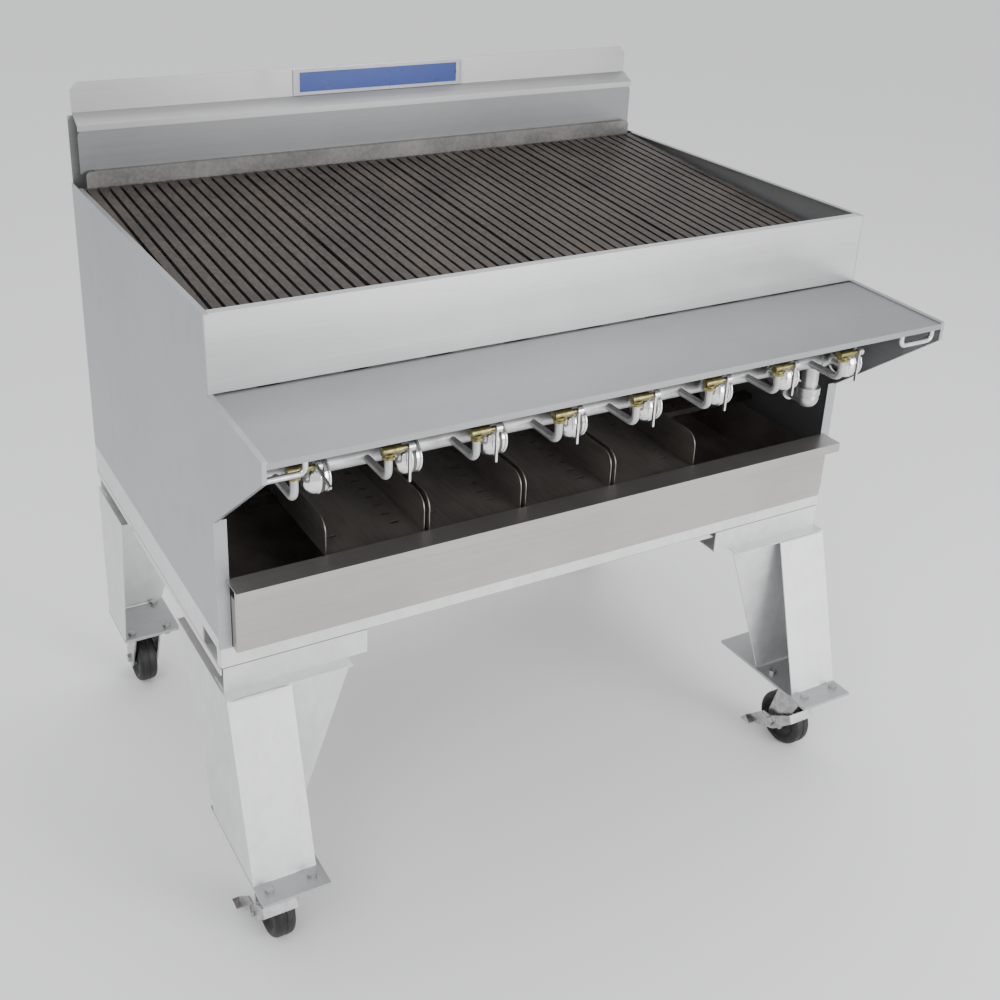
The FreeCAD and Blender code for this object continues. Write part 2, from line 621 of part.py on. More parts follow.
def brake_pedal(node, spot):
    """A rocker that turns on the axle bolt outside the fork: shoe in front, foot tab behind."""
    part = body("pedal")
    near = "-pedal_in - pedal_thick"
    cheek = [("-pedal_nose", "pedal_rise + shoe_long / 2"),
             ("-pedal_nose - shoe_long / 2", "pedal_rise - shoe_long / 2"),
             ("-pedal_wide / 2", "-pedal_wide / 2"), ("pedal_tail - tab_long", "-pedal_fall - sheet"),
             ("pedal_tail", "-pedal_fall - sheet"), ("pedal_tail", "-pedal_fall"),
             ("pedal_wide", "pedal_wide / 2"), ("0", "pedal_wide / 2 + sheet")]
    slab(part, "YZ", cheek, near, "pedal_thick")
    shoe = [("-pedal_nose", "pedal_rise + shoe_long / 2"),
            ("-pedal_nose - shoe_long / 2", "pedal_rise - shoe_long / 2"),
            ("sheet - pedal_nose - shoe_long / 2", "pedal_rise - shoe_long / 2"),
            ("sheet - pedal_nose", "pedal_rise + shoe_long / 2")]
    slab(part, "YZ", shoe, near, "pedal_in + pedal_thick + wheel_wide / 2")
    tab = rectangle("pedal_tail - tab_long", "pedal_tail", "-pedal_fall - sheet", "-pedal_fall")
    slab(part, "YZ", tab, near + " - tab_out + pedal_thick", "tab_out")
    pocket(part, circle(part, "YZ", "0", "0", "axle_round + run_fit", near), "pedal_thick")
    finish(place(part, *spot), node)


def casters():
    plain = "axle_left"
    braked = "pedal_in + pedal_thick + gap"
    for node, spot, left in zip(("front_left", "rear_left", "front_right", "rear_right"), swivel_spots(),
                                (braked, plain, braked, plain)):
        centre = (spot[0], spot[1] + " + trail", "wheel_round")
        caster_fork("caster_fork_" + node, spot)
        caster_wheel("caster_wheel_" + node, centre)
        caster_axle("caster_axle_" + node, centre, left)
        if left == braked:
            brake_pedal("brake_pedal_" + node.split("_")[1], centre)


# ---------------------------------------------------------------- drip tray and pans

def drip_tray():
    part = body("tray")
    near = y_at("-tray_set")
    far = y_at("tray_rear")
    floor = rectangle("-tray_half", "tray_half", near, far)
    slab(part, "XY", floor, "tray_floor", "tray_sheet")
    for start in ("-tray_half", "tray_half - tray_sheet"):
        wall = rectangle(near, far, "tray_floor", "tray_floor + tray_wall")
        slab(part, "YZ", wall, start, "tray_sheet")
    for start, top in ((near, z_at("tray_drop")), (far + " - tray_sheet", "tray_floor + tray_wall")):
        slab(part, "XZ", rectangle("-tray_half", "tray_half", "tray_floor", top), start, "tray_sheet")
    left = "-tray_half - lip_over"
    right = "tray_half + lip_over"
    top = z_at("tray_drop")
    lip = rectangle(left, right, y_at("-lip_reach"), y_at("-lip_back"))
    slab(part, "XY", lip, top + " - tray_sheet", "tray_sheet")
    hem = rectangle(left, right, top + " - lip_hem", top)
    slab(part, "XZ", hem, y_at("-lip_reach"), "tray_sheet")
    finish(part, "drip_tray")


def deflector_pan(i):
    """A shallow trough; two rows of vent slots run along its floor."""
    part = body("pan")
    side = "pan_wide / 2"
    trough = [("-" + side, "0"), (side, "0"), (side, "pan_wall"), (side + " - pan_sheet", "pan_wall"),
              (side + " - pan_sheet", "pan_sheet"), ("pan_sheet - " + side, "pan_sheet"),
              ("pan_sheet - " + side, "pan_wall"), ("-" + side, "pan_wall")]
    sides = slab(part, "XZ", trough, "0", "pan_deep")
    rounded(part, sides, "pan_round", lambda box: box.XLength > 1 and box.XLength < 3 and box.YMax < 0.1
            and box.ZMin > value("pan_wall") - 0.1)
    for centre in ("-slot_side", "slot_side"):
        slot = rectangle(centre + " - slot_wide / 2", centre + " + slot_wide / 2", "slot_start",
                         "slot_start + slot_thick")
        hole = cut_out(part, "XY", slot, "0", "pan_sheet")
        rows(part, hole, "Y", "slot_pitch", "slot_count")
    place(part, "pan_shift + pan_pitch * %.1f" % (i - 2.5), y_at("pan_front"), "pan_floor - pan_sheet")
    finish(part, "deflector_pan_%d" % i)


def pan_rails():
    bars = []
    for near in ("pan_rail_front", "pan_rail_rear"):
        bars.append(block(("-inner", "inner"), (y_at(near), y_at(near + " + pan_rail_deep")),
                          ("pan_floor - pan_sheet - pan_rail_high", "pan_floor - pan_sheet")))
    finish(together(bars), "pan_rails")


# ---------------------------------------------------------------- cooking grates

def grate(i):
    """Flat bars run front to back over three cross ties; local y follows the slope."""
    part = body("grate")
    for start in ("grate_high", "(grate_long - tie_deep) / 2", "grate_long - grate_high - tie_deep"):
        tie = rectangle("bar_gap / 2", "grate_wide - bar_gap / 2", start, start + " + tie_deep")
        slab(part, "XY", tie, "-grate_high", "tie_high")
    section = [("bar_gap / 2", "0"), ("bar_pitch - bar_gap / 2", "0"), ("bar_pitch - bar_gap", "-grate_high"),
               ("bar_gap", "-grate_high")]
    bar = slab(part, "XZ", section, "0", "grate_long")
    rows(part, bar, "X", "bar_pitch", "bar_count")
    part.Placement = FreeCAD.Placement(FreeCAD.Vector(), FreeCAD.Rotation(FreeCAD.Vector(1, 0, 0), 1))
    bind(part, "Placement.Rotation.Angle", "grate_slope")
    place(part, "edge_wide - half + grate_gap + %d * (grate_wide + grate_gap)" % (i - 1),
          y_at("grate_front"), "rim - grate_drop + grate_front * tan(grate_slope)")
    finish(part, "grate_%d" % i)


def cross_rails():
    """Angles under both ends of the grates and bars under the burners."""
    under = "rim - grate_drop - grate_high / cos(grate_slope) - gap"
    front_top = under + " + grate_front * tan(grate_slope)"
    rear_top = under + " + (ledge_front - rest_deep) * tan(grate_slope)"
    rails = []
    for near, wall, top in ((y_at("sheet"), y_at("sheet"), front_top),
                            (y_at("ledge_front - rest_deep"), y_at("ledge_front - rest_thick"), rear_top)):
        part = body("rest")
        shelf = rectangle(near, near + " + rest_deep", "(" + top + ") - rest_thick", top)
        slab(part, "YZ", shelf, "-inner", "2 * inner")
        drop = rectangle(wall, wall + " + rest_thick", "(" + top + ") - rest_drop", top)
        slab(part, "YZ", drop, "-inner", "2 * inner")
        rails.append(part)
    bar_top = z_at("burner_drop + burner_round")
    for near in ("bar_front", "bar_rear"):
        rails.append(block(("-inner", "inner"), (y_at(near), y_at(near + " + bar_deep")),
                           (bar_top + " - bar_high", bar_top)))
    strip_top = z_at("radiant_drop + radiant_high")
    for near in ("radiant_front + bar_deep", "radiant_front + radiant_long - 2 * bar_deep"):
        rails.append(block(("-inner", "inner"), (y_at(near), y_at(near + " + bar_deep")),
                           (strip_top + " - rest_thick", strip_top)))
    finish(together(rails), "cross_rails")


# ---------------------------------------------------------------- burners, valves, gas line

def bent_pipe(name, plane, points, bend, across, start, radius, level="0"):
    """A round bar in one plane through the points, with a tangent arc at each inner point.

    The section lies on the across plane at start, square to the first run."""
    part = body(name)
    path = sketch_on(part, plane, level)
    spots = [FreeCAD.Vector(value(x), value(y), 0) for x, y in points]
    reach = value(bend)
    entries = []
    exits = []
    left_turns = []
    for before, corner, after in zip(spots, spots[1:], spots[2:]):
        into = (corner - before).normalize()
        away = (after - corner).normalize()
        setback = reach * math.tan(into.getAngle(away) / 2)
        left_turns.append(into.cross(away).z > 0)
        entries.append(corner - into * setback)
        exits.append(corner + away * setback)
    tails = [spots[0]] + exits
    heads = entries + [spots[-1]]
    for tail, head in zip(tails, heads):
        path.addGeometry(Part.LineSegment(tail, head))
    runs = len(tails)
    for i, corner in enumerate(spots[1:-1]):
        chord = (entries[i] + exits[i]) / 2
        centre = chord + (chord - corner) * (reach / corner.distanceToPoint(entries[i])) ** 2
        crown = centre + (corner - centre).normalize() * reach
        ends = (entries[i], exits[i]) if left_turns[i] else (exits[i], entries[i])
        arc = path.addGeometry(Part.Arc(ends[0], crown, ends[1]))
        path.addConstraint(Sketcher.Constraint("Tangent", i, 2, arc, 1 if left_turns[i] else 2))
        path.addConstraint(Sketcher.Constraint("Tangent", i + 1, 1, arc, 2 if left_turns[i] else 1))
        index = path.addConstraint(Sketcher.Constraint("Radius", arc, reach))
        bind(path, "Constraints[%d]" % index, bend)
        mark = path.addGeometry(Part.Point(corner), True)
        path.addConstraint(Sketcher.Constraint("PointOnObject", mark, 1, i))
        path.addConstraint(Sketcher.Constraint("PointOnObject", mark, 1, i + 1))
        fix_point(path, mark, 1, points[i + 1], corner)
    fix_point(path, 0, 1, points[0], spots[0])
    fix_point(path, runs - 1, 2, points[-1], spots[-1])
    section = circle(part, across[0], across[1], across[2], radius, start)
    pipe = part.newObject("PartDesign::AdditivePipe", "pipe")
    pipe.Profile = section
    pipe.Spine = (path, ["Edge%d" % (n + 1) for n in range(2 * runs - 1)])
    return part


def fix_point(path, piece, end, texts, spot):
    for kind, text, start in zip(("DistanceX", "DistanceY"), texts, (spot.x, spot.y)):
        index = path.addConstraint(Sketcher.Constraint(kind, -1, 1, piece, end, start))
        bind(path, "Constraints[%d]" % index, text)


def radiants():
    """An inverted V of sheet over each burner."""
    part = body("radiant")
    low = "-radiant_high"
    tent = [("-radiant_half", low), ("0", "0"), ("radiant_half", low), ("radiant_half - radiant_thick", low),
            ("0", "-radiant_thick"), ("radiant_thick - radiant_half", low)]
    slab(part, "XZ", tent, "0", "radiant_long")
    spots = [(station_x(i) + " + burner_shift", y_at("radiant_front"), z_at("radiant_drop"))
             for i in range(count_of("stations"))]
    finish(copies(part, spots), "radiants")


def burners():
    """A straight tube burner whose neck runs down and forward into its round mixer drum."""
    points = [(y_at("burner_end"), z_at("burner_drop")), (y_at("burner_knee"), z_at("burner_drop")),
              (y_at("drum_at + neck_back"), z_at("drum_drop - neck_rise"))]
    tube = bent_pipe("burner", "YZ", points, "burner_bend", ("XZ", "0", z_at("burner_drop")),
                     y_at("burner_end"), "burner_round")
    drum = body("drum")
    rim_line = circle(drum, "YZ", y_at("drum_at"), z_at("drum_drop"), "drum_round", "-drum_wide / 2")
    disc = pad(drum, rim_line, "drum_wide")
    rounded(drum, disc, "drum_dome", lambda box: box.XLength < 0.1 and box.XMax < 0)
    spots = [(station_x(i) + " + burner_shift", "0", "0") for i in range(count_of("stations"))]
    finish(copies(fused([tube, drum]), spots), "burners")


def gas_line():
    pipe_y = y_at("pipe_at")
    pipe = rod("pipe_round", "inner + half - pipe_end", "-inner", pipe_y, "pipe_z", "X")
    cap = rod("pipe_round + sheet", "collar_high", "half - pipe_end", pipe_y, "pipe_z", "X")
    finish(fused([pipe, cap]), "manifold_pipe")
    points = [(pipe_y, "pipe_z"), (y_at("riser_at"), "pipe_z"), (y_at("riser_at"), z_at("riser_top"))]
    riser = bent_pipe("riser", "YZ", points, "riser_bend", ("XZ", "0", "pipe_z"), pipe_y, "riser_round")
    spots = [(station_x(i) + " + riser_shift", "0", "0") for i in range(count_of("stations"))]
    finish(copies(riser, spots), "riser_tubes")


def inlet_elbow():
    """Drop pipe, screwed collar and an elbow whose open mouth faces the rear."""
    x = "half - elbow_at"
    y = y_at("pipe_at")
    mouth = y_at("nipple_end")
    drop = rod("pipe_round", "pipe_z - pipe_round + sheet - elbow_z", x, y, "elbow_z")
    collar = rod("collar_round", "collar_high", x, y, "elbow_z + collar_high / 2")
    ball = doc.addObject("Part::Sphere", "ball")
    bind(ball, "Radius", "elbow_round")
    place(ball, x, y, "elbow_z")
    nose = rod("elbow_round - sheet", "nipple_end - pipe_at", x, y, "elbow_z", "Y")
    bead = rod("bead_round", "bead_wide", x, mouth + " - bead_wide", "elbow_z", "Y")
    bore = rod("pipe_bore", "bore_long", x, mouth + " - bore_long", "elbow_z", "Y")
    finish(drilled(fused([drop, collar, ball, nose, bead]), [bore]), "inlet_elbow")


def valve_bodies():
    """Local origin: the station's middle line, at the valve's height over the riser."""
    neck = rod("valve_round", "riser_top - valve_drop - stem_round", "riser_shift", "0",
               "valve_drop - riser_top")
    nut = hex_rod("valve_round + sheet", "valve_round / 2", "riser_shift", "0", "valve_drop - riser_top")
    butt = "valve_round + sheet"
    cock = rod("cock_round", "cock_long + " + butt, "riser_shift - (" + butt + ")", "0", "0", "X")
    stem = rod("stem_round", "stem_long", "riser_shift", "0", "0", "X")
    valve = fused([neck, nut, cock, stem])
    spots = [(station_x(i), y_at("riser_at"), z_at("valve_drop")) for i in range(count_of("stations"))]
    finish(copies(valve, spots), "valve_bodies")


def valve_lever(i):
    """A bent strip that hangs from a hub on the valve's stem; the first one is swung forward."""
    part = body("lever")
    strip = [("-lever_front", "lever_thick / 2"), ("-lever_front", "-lever_long"),
             ("lever_thick - lever_front", "-lever_long"), ("lever_thick - lever_front", "-lever_hub"),
             ("0", "-lever_thick / 2"), ("0", "lever_thick / 2")]
    pad(part, circle(part, "YZ", "0", "0", "lever_hub", "lever_at"), "lever_wide")
    slab(part, "YZ", strip, "lever_at", "strip_wide")
    pocket(part, circle(part, "YZ", "0", "0", "stem_round + run_fit", "lever_at"), "lever_wide")
    place(part, station_x(i - 1), y_at("riser_at"), z_at("valve_drop"))
    if i == 1:
        part.Placement.Rotation = FreeCAD.Rotation(FreeCAD.Vector(-1, 0, 0), 1)
        bind(part, "Placement.Rotation.Angle", "lever_swing")
    finish(part, "valve_lever_%d" % i)


def deck_hooks():
    """Round bars bent into loops under the ends of the shelf."""
    hem = "shelf_tip - sheet - shelf_hem"
    low = hem + " - hook_drop + hook_round"
    depth = y_at("hook_round - shelf_reach")
    edge = "fold_wide - half"
    side = [(edge, low), (edge + " + hook_wide", low), (edge + " + hook_wide", hem)]
    left = bent_pipe("hook", "XZ", side, "hook_bend", ("YZ", depth, low), edge, "hook_round", depth)
    near = "half - hook_right - hook_right_wide"
    far = "half - hook_right"
    loop = [(near, hem), (near, low), (far, low), (far, hem)]
    right = bent_pipe("hook", "XZ", loop, "hook_bend", ("XY", near, depth), hem, "hook_round", depth)
    finish(together([left, right]), "deck_hooks")


def count_of(name):
    return int(value(name))


side_panel()
front_apron()
front_shelf()
rear_panel()
rear_ledge()
flue_panel()
backsplash()
nameplate()
base_rails()
leg_channels()
front_leg()
rear_leg()
foot_plates()
caster_plates()
caster_bolts()
casters()
drip_tray()
pan_rails()
cross_rails()
radiants()
burners()
gas_line()
inlet_elbow()
valve_bodies()
deck_hooks()
for number in range(1, 5):
    deflector_pan(number)
    grate(number)
for number in range(1, count_of("stations") + 1):
    valve_lever(number)

doc.recompute()
for thing in doc.Objects:
    if "Invalid" in thing.State or "Error" in thing.State:
        raise RuntimeError("failed: " + thing.Label + " " + str(thing.State))
for thing in finished:
    if thing.Shape.isNull() or not thing.Shape.isValid():
        raise RuntimeError("bad shape: " + thing.Label)
os.makedirs("parts", exist_ok=True)
for thing in finished:
    thing.Shape.exportStep("parts/" + thing.Label + ".step")
    extent = thing.Shape.BoundBox
    print(thing.Label, len(thing.Shape.Solids), "%.0f %.0f %.0f  %.0f %.0f %.0f" % (
        extent.XMin, extent.YMin, extent.ZMin, extent.XMax, extent.YMax, extent.ZMax))
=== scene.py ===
import math
import random
import bmesh
import bpy
from mathutils import Matrix, Vector


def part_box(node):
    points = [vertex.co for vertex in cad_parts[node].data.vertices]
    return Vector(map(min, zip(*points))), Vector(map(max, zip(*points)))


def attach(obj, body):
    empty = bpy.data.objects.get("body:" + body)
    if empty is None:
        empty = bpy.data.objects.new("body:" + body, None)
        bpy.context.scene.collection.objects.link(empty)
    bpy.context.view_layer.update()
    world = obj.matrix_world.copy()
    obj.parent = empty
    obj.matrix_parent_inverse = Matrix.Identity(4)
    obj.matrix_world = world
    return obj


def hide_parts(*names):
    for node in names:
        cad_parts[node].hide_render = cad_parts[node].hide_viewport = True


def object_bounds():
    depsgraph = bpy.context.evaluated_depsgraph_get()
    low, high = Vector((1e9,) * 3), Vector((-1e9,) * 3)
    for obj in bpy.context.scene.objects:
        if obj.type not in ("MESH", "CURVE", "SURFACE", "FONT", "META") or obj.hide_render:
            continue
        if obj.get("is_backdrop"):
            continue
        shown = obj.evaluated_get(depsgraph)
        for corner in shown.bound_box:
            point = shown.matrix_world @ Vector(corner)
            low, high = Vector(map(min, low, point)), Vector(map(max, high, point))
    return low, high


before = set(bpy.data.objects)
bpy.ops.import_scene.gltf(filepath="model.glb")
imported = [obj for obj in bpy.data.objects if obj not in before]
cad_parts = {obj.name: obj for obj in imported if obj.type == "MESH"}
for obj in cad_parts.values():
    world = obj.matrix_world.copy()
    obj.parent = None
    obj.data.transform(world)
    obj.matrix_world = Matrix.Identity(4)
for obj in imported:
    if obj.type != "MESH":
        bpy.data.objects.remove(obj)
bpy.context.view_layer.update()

# %% [markdown]
# # A gas charbroiler, dressed for its picture
# The frame arrives as finished metal parts that already ride on their bodies. This lesson gives every
# part a finish, adds the small welded, cast and rubber details that sheet drawings leave out, and
# sets up a plain studio.

# %% [markdown]
# ## Places that everything else is worked out from
# The camera and the added pieces hang on a few edges of the frame: the rim of the side panels, the
# front face of the apron, the outer sides. They are read from the parts themselves.

# %% reference edges
side_low, side_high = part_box("left_side_panel")
RIM = side_high.z
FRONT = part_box("front_apron")[0].y
HALF = -side_low.x
print("rim", round(RIM, 3), "front", round(FRONT, 4), "half width", round(HALF, 3))

# %% [markdown]
# ## The camera
# A person of ordinary height stands to the left of the appliance and looks down on it. A direction
# is easiest to set as three turns: how far the view swings to the right of straight ahead, how far
# it looks down, and how much it leans. The lens is a mild portrait length.

# %% camera
EYE = Vector((-1.0248, FRONT - 1.4849, RIM + 0.587))
YAW, PITCH, LEAN = math.radians(28.8), math.radians(-23.6), math.radians(1.69)


def camera_turn(yaw, pitch, lean):
    """A camera's rotation from its swing, tilt and lean."""
    ahead = Vector((math.sin(yaw) * math.cos(pitch), math.cos(yaw) * math.cos(pitch), math.sin(pitch)))
    level = Vector((math.cos(yaw), -math.sin(yaw), 0))
    above = level.cross(ahead)
    right = level * math.cos(lean) + above * math.sin(lean)
    up = above * math.cos(lean) - level * math.sin(lean)
    return Matrix((right, up, -ahead)).transposed()


lens = bpy.data.cameras.new("camera")
lens.sensor_width = 36
lens.lens = 46.98
lens.shift_x = 0.054
lens.shift_y = -0.12
lens.clip_start = 0.01
camera = bpy.data.objects.new("camera", lens)
camera.matrix_world = Matrix.Translation(EYE) @ camera_turn(YAW, PITCH, LEAN).to_4x4()
bpy.context.scene.collection.objects.link(camera)
bpy.context.scene.camera = camera
print("camera at", tuple(round(a, 3) for a in EYE))

# %% [markdown]
# ## The studio
# Sheet metal shows what is around it, so a plain room matters more than strong lamps. A pale floor,
# an even grey sky and three broad lamps give soft gradients on the panels and one clean highlight
# along each fold.

# %% floor, sky and lamps
def floor_sheet(size):
    mesh = bpy.data.meshes.new("floor")
    corners = [(-size, -size, 0), (size, -size, 0), (size, size, 0), (-size, size, 0)]
    mesh.from_pydata(corners, [], [(0, 1, 2, 3)])
    sheet = bpy.data.objects.new("floor", mesh)
    bpy.context.scene.collection.objects.link(sheet)
    paint = bpy.data.materials.new("floor_paint")
    paint.use_nodes = True
    surface = paint.node_tree.nodes["Principled BSDF"]
    surface.inputs["Base Color"].default_value = (0.95, 0.95, 0.95, 1)
    surface.inputs["Roughness"].default_value = 0.7
    mesh.materials.append(paint)
    sheet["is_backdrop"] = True
    return sheet


def lamp(name, place, target, size, power):
    light = bpy.data.lights.new(name, "AREA")
    light.shape = "DISK"
    light.size = size
    light.energy = power
    holder = bpy.data.objects.new(name, light)
    holder.location = place
    holder.rotation_euler = (Vector(target) - Vector(place)).to_track_quat("-Z", "Y").to_euler()
    bpy.context.scene.collection.objects.link(holder)
    return holder


floor_sheet(30)
sky = bpy.data.worlds.new("sky")
sky.use_nodes = True
sky.node_tree.nodes["Background"].inputs["Color"].default_value = (0.93, 0.94, 0.96, 1)
sky.node_tree.nodes["Background"].inputs["Strength"].default_value = 1.0
bpy.context.scene.world = sky
MIDDLE = (0, 0, 0.6 * RIM)
lamp("key_lamp", (-2.6, -2.2, 3.2), MIDDLE, 2.2, 42)
lamp("front_lamp", (1.5, -3.4, 1.3), MIDDLE, 2.0, 85)
lamp("top_lamp", (0.4, 0.6, 3.4), MIDDLE, 2.4, 30)
print("studio ready")

# %% [markdown]
# ## Writing shader sums as sums
# A finish is mostly arithmetic on noise. Wiring every sum by hand hides the idea, so a small class
# wraps one socket and turns +, - and * into Math nodes. Then 1 - mask reads as it would on paper, in
# either order.

# %% a number that varies over a surface
class Field:
    """A varying number: arithmetic on it adds Math nodes to its finish."""

    def __init__(self, finish, socket):
        self.finish = finish
        self.socket = socket

    def __add__(self, other):
        return self.finish.maths("ADD", self, other)

    def __sub__(self, other):
        return self.finish.maths("SUBTRACT", self, other)

    def __rsub__(self, other):
        return self.finish.maths("SUBTRACT", other, self)

    def __mul__(self, other):
        return self.finish.maths("MULTIPLY", self, other)

    __radd__ = __add__
    __rmul__ = __mul__

    def step(self, low, high):
        """0 below low, 1 above high, a smooth ramp between them."""
        ramp = self.finish.node("ShaderNodeMapRange", {"interpolation_type": "SMOOTHSTEP"},
                                {"Value": self, "From Min": low, "From Max": high})
        return Field(self.finish, ramp.outputs["Result"])


# %% [markdown]
# ## One maker of finishes
# Every finish is one Principled surface. The node method below is the only place where a node is
# made: it takes the kind, the settings, which go in first, and what each socket gets. The rest are
# short words for patterns: noise stretched along a direction, cells, a blend of two colours.

# %% a finish and its patterns
class Finish:
    def __init__(self, name, **constants):
        self.material = bpy.data.materials.new(name)
        self.material.use_nodes = True
        self.tree = self.material.node_tree
        self.surface = self.tree.nodes["Principled BSDF"]
        for word, amount in constants.items():
            self.surface.inputs[word.replace("_", " ")].default_value = amount
        self.here = self.node("ShaderNodeTexCoord", {}, {}).outputs["Object"]

    def node(self, kind, settings, sockets):
        made = self.tree.nodes.new(kind)
        for word, setting in settings.items():
            setattr(made, word, setting)
        for word, given in sockets.items():
            socket = made.inputs[word]
            if isinstance(given, Field):
                given = given.socket
            if isinstance(given, bpy.types.NodeSocket):
                self.tree.links.new(given, socket)
            else:
                socket.default_value = given
        return made

    def maths(self, operation, first, second):
        made = self.node("ShaderNodeMath", {"operation": operation}, {0: first, 1: second})
        return Field(self, made.outputs["Value"])

    def scaled(self, scale):
        return self.node("ShaderNodeMapping", {}, {"Vector": self.here, "Scale": scale}).outputs["Vector"]

    def noise(self, scale, detail=4, rough=0.55):
        made = self.node("ShaderNodeTexNoise", {}, {"Vector": self.scaled(scale), "Scale": 1.0,
                                                    "Detail": detail, "Roughness": rough})
        return Field(self, made.outputs["Fac"])

    def cells(self, scale):
        made = self.node("ShaderNodeTexVoronoi", {}, {"Vector": self.scaled(scale), "Scale": 1.0})
        return Field(self, made.outputs["Distance"])

    def along(self, axis):
        made = self.node("ShaderNodeSeparateXYZ", {}, {"Vector": self.here})
        return Field(self, made.outputs[axis])

    def blend(self, amount, first, second):
        made = self.node("ShaderNodeMix", {"data_type": "RGBA"}, {0: amount, 6: first, 7: second})
        return made.outputs[2]

    def show(self, **links):
        for word, given in links.items():
            socket = given.socket if isinstance(given, Field) else given
            self.tree.links.new(socket, self.surface.inputs[word.replace("_", " ")])
        return self

    def bump(self, height, depth):
        made = self.node("ShaderNodeBump", {}, {"Height": height, "Distance": depth, "Strength": 1.0})
        self.tree.links.new(made.outputs["Normal"], self.surface.inputs["Normal"])
        return self


def grey(level, warm=0.0):
    return (level + warm, level, level - warm, 1)


# %% [markdown]
# ## Satin sheet metal
# The cabinet is folded from sheet whose grain runs along the roll. Very long, thin noise gives the
# grain; a broad cloud of noise gives handling marks and uneven polish; both also move the roughness,
# because that is what the eye reads as brushed metal rather than grey paint.

# %% sheet finishes
def satin_sheet(name, tone, grain, rough=0.36, warm=0.0, marks=0.10):
    """Grain is a scale along X, Y and Z: small along the brushing, large across it."""
    finish = Finish(name, Metallic=0.82, IOR=1.6)
    streaks = finish.noise(grain, 3, 0.6)
    cloud = finish.noise((3.1, 3.7, 4.3), 5, 0.62)
    rubs = finish.noise((19, 23, 17), 3, 0.5).step(0.52, 0.72)
    amount = streaks * 0.45 + cloud * 0.55
    colour = finish.blend(amount.step(0.3, 0.7), grey(tone * 0.9, warm), grey(tone * 1.06, warm))
    finish.show(Base_Color=colour, Roughness=streaks * 0.16 + cloud * marks + rubs * 0.04 + (rough - 0.13))
    finish.bump(streaks, 0.00004)
    return finish


cabinet_side = satin_sheet("side_sheet", 0.43, (30, 4, 900), 0.40, -0.010)
cabinet_front = satin_sheet("front_sheet", 0.64, (4, 60, 900), 0.36, -0.004)
shelf_sheet = satin_sheet("shelf_sheet", 0.33, (4, 800, 90), 0.42, -0.005)
back_sheet = satin_sheet("back_sheet", 0.40, (4, 300, 700), 0.40)
flue_sheet = satin_sheet("flue_sheet", 0.24, (3, 200, 500), 0.38, -0.004, 0.16)
foot_steel = satin_sheet("foot_steel", 0.50, (70, 70, 60), 0.36, -0.006, 0.18)
print("sheet finishes ready")

# %% [markdown]
# ## A tray that is clean outside and browned inside
# The lip and the front hem are wiped every day, so they stay bright and a little warm. Behind the
# lip the sheet has been roasted. One step along the tray's own depth divides the two.

# %% tray finish
LIP_DEEP = 0.0417


def tray_finish():
    near = min(corner[1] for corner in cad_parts["drip_tray"].bound_box)
    finish = Finish("tray_sheet", Metallic=0.8, IOR=1.6)
    streaks = finish.noise((3, 500, 900), 3, 0.6)
    cloud = finish.noise((3.1, 3.7, 4.3), 5, 0.62)
    burnt = finish.noise((9, 6, 9), 5, 0.6)
    inside = finish.along("Y").step(near + LIP_DEEP, near + LIP_DEEP + 0.0008)
    clean = finish.blend((streaks * 0.45 + cloud * 0.55).step(0.3, 0.7), grey(0.36, 0.014), grey(0.45, 0.018))
    roasted = finish.blend(burnt.step(0.3, 0.7), (0.22, 0.192, 0.170, 1), (0.40, 0.36, 0.33, 1))
    finish.show(Base_Color=finish.blend(inside, clean, roasted),
                Roughness=streaks * 0.16 + cloud * 0.1 + inside * 0.12 + 0.2)
    return finish.bump(streaks, 0.00004)


tray_sheet = tray_finish()

# %% [markdown]
# ## A welded frame with a shadowed seam
# Rails and channels meet flush, so no gap casts a shadow between them; the shadow line at the joint is a
# painted shadow, a dark hairline in the colour. Its height is read from the rail that meets the channels
# there.

# %% frame finish
def frame_finish():
    finish = Finish("frame_steel", Metallic=0.82, IOR=1.6)
    mill = finish.noise((60, 60, 40), 3, 0.6)
    cloud = finish.noise((3.1, 3.7, 4.3), 5, 0.62)
    up = finish.along("Z")
    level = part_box("front_rail")[0].z
    # painted shadow: a thin dark band at the rail's bottom edge, where the joint's shadow line would fall
    painted_seam_shadow = up.step(level - 0.0016, level - 0.0005) * (1 - up.step(level + 0.0003, level + 0.0012))
    bare = finish.blend((mill * 0.45 + cloud * 0.55).step(0.3, 0.7), grey(0.69, -0.004), grey(0.82, -0.004))
    # the painted shadow line is blended in as dark grey over the bare steel
    finish.show(Base_Color=finish.blend(painted_seam_shadow, bare, grey(0.20)),
                Roughness=mill * 0.16 + cloud * 0.16 + 0.35)
    return finish.bump(mill, 0.00004)


frame_steel = frame_finish()

# %% [markdown]
# ## Iron that has met fire
# The grates are cast bars, brown-black and rough with baked fat. Pans, rests and the ledge are sheet
# that the heat has browned. Three patterns make the crust: a long grain along the bars, broad
# clouds of soot, and a fine grit.

# %% fire-darkened finishes
def cast_crust(name, dark, light, size=1.0, metal=0.25):
    finish = Finish(name, Metallic=metal)
    crust = finish.noise((220 * size, 70 * size, 220 * size), 6, 0.68)
    soot = finish.noise((12, 9, 12), 4, 0.6)
    grit = finish.cells((700 * size, 700 * size, 700 * size))
    amount = crust * 0.6 + soot * 0.4
    finish.show(Base_Color=finish.blend(amount.step(0.35, 0.68), dark, light),
                Roughness=soot * 0.25 + crust * 0.2 + 0.32)
    finish.bump(crust * 0.7 + grit * 0.3, 0.0004)
    return finish


